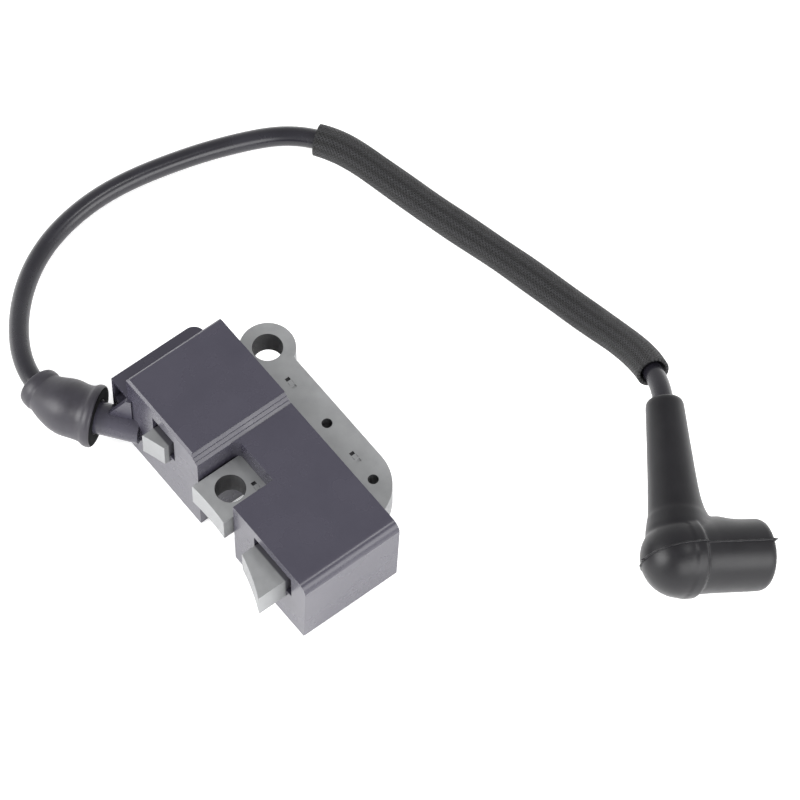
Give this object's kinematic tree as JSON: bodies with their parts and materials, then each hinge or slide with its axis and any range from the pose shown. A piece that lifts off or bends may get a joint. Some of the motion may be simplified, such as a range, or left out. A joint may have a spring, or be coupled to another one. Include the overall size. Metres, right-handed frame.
{
  "type": "ignition coil",
  "caption": "Two-stroke ignition coil: laminated E core through two potted plastic blocks, high-tension lead with woven sleeve, rubber elbow plug boot.",
  "frame": {"origin": "centre of the foot of the box round the core and its blocks, on the surface that the part lies on", "axes": "+X runs along the flywheel's rim from the tall block to the low block, -Y faces the flywheel, +Z is the axis of the mounting screws and points up"},
  "size_m": [0.1904, 0.129, 0.0305],
  "materials": {
    "core_steel": "ground sheet edges, satin",
    "case_nylon": "moulded glass-filled nylon, satin",
    "potting_epoxy": "poured epoxy, glossy",
    "bobbin_plastic": "moulded",
    "enamelled_copper": "enamelled wire",
    "board_laminate": "glass-epoxy laminate",
    "capacitor_film": "dipped",
    "package_epoxy": "moulded",
    "resistor_coat": "lacquered",
    "tinned_brass": "tinned",
    "boot_rubber": "moulded, satin",
    "grommet_rubber": "moulded, satin",
    "lead_jacket": "extruded, semi-gloss",
    "sleeve_weave": "woven fibre sleeve",
    "copper_strand": "bright strand",
    "spring_steel": "plated wire"
  },
  "bodies": {
    "root": {"core_stack": "core_steel", "coil_case": "case_nylon", "module_case": "case_nylon", "coil_potting": "potting_epoxy", "module_potting": "potting_epoxy", "primary_bobbin": "bobbin_plastic", "primary_winding": "enamelled_copper", "secondary_bobbin": "bobbin_plastic", "secondary_winding": "enamelled_copper", "charge_bobbin": "bobbin_plastic", "charge_winding": "enamelled_copper", "trigger_winding": "enamelled_copper", "circuit_board": "board_laminate", "charge_capacitor": "capacitor_film", "thyristor": "package_epoxy", "diodes": "package_epoxy", "resistors": "resistor_coat", "hv_pin": "tinned_brass", "ground_tab": "tinned_brass", "stop_terminal": "tinned_brass", "tower_boot": "grommet_rubber", "hv_lead": "lead_jacket", "lead_conductor": "copper_strand", "lead_sleeve": "sleeve_weave", "plug_boot": "boot_rubber", "plug_spring": "spring_steel"}
  },
  "joints": []
}
